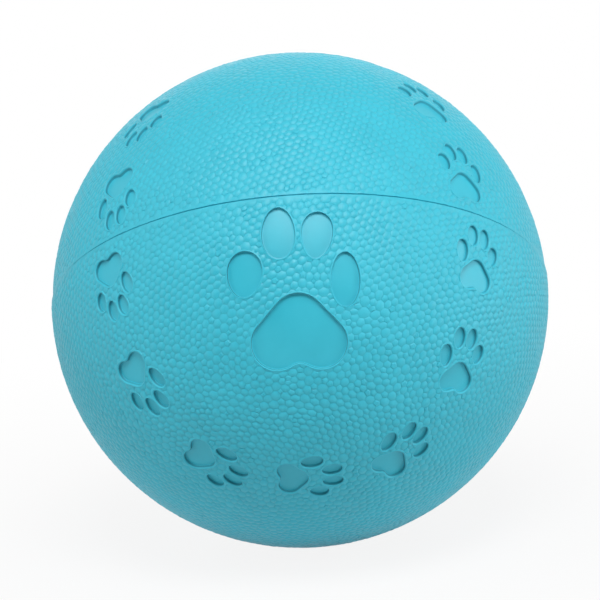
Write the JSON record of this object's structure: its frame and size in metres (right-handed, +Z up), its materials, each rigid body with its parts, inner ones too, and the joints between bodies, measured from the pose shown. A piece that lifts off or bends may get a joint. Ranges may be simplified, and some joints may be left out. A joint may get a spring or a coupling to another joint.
{
  "type": "squeaky dog ball",
  "caption": "Hollow pebbled rubber dog ball of two bonded halves with pressed paw prints and a reed squeaker that sounds when the ball is squeezed.",
  "frame": {"origin": "middle of the ball", "axes": "+Z up as the ball rests, -Y the front with the big paw print, +X to its right; the pole with the sound hole tips back from +Z towards +Y"},
  "size_m": [0.1, 0.0997, 0.0997],
  "materials": {
    "rubber": "matte, pebbled",
    "squeaker_plastic": "satin",
    "reed_film": "gloss"
  },
  "bodies": {
    "ball": {"lower_shell": "rubber", "upper_shell": "rubber", "squeaker_barrel": "squeaker_plastic", "squeaker_cap": "squeaker_plastic", "reed_seat": "squeaker_plastic", "reed_key": "squeaker_plastic"},
    "reed": {"reed": "reed_film"}
  },
  "joints": [
    {"name": "reed_beat", "type": "hinge", "parent": "ball", "child": "reed", "pos_m": [0, 0.02507, 0.0358], "axis": [-1, 0, 0], "range_deg": [0, 4.8], "stiffness_Nm_per_rad": 0.003}
  ]
}
